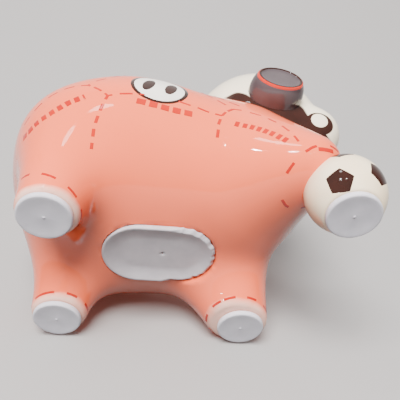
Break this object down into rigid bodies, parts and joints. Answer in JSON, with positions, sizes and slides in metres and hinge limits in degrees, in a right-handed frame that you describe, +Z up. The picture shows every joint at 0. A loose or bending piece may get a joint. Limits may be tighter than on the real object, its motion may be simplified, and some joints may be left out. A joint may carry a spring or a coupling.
{
  "type": "figural animal coin bank",
  "caption": "Glazed ceramic coin bank shaped as a pig with its head turned and one front foot on a ball, with a coin slot in the back and a soft plug in the belly.",
  "frame": {"origin": "on the ground under the middle of the object's box, with the pads standing on z = 0", "axes": "+Z up, +X the way the pig walks, -Y its right side, which its face turns to"},
  "size_m": [0.167, 0.1238, 0.1479],
  "materials": {
    "pink_glaze": "airbrushed pink underglaze with red painted marks, under a clear glossy glaze",
    "white_glaze": "warm white glaze with black painted patches, glossy",
    "silver_glaze": "silver-grey painted glaze, glossy, with a red and a black line round the rim",
    "ivory_glaze": "ivory glaze with black painted pentagons, glossy",
    "soft_plug": "soft translucent white PVC, moulded, satin, with trimmed flash on its edge",
    "foot_pad": "soft white moulded pad, satin"
  },
  "bodies": {
    "pig": {"torso_casting": "pink_glaze", "head_casting": "white_glaze", "snout": "silver_glaze", "ear_right": "white_glaze", "ear_left": "white_glaze", "tail": "pink_glaze", "ball_casting": "ivory_glaze", "foot_pad_rear_right": "foot_pad", "foot_pad_rear_left": "foot_pad", "foot_pad_front_left": "foot_pad", "ball_pad": "foot_pad"},
    "plug": {"belly_plug": "soft_plug"}
  },
  "joints": [
    {"name": "plug_pull", "type": "slide", "parent": "pig", "child": "plug", "axis": [0, 0, -1], "range_m": [0, 0.012]}
  ]
}
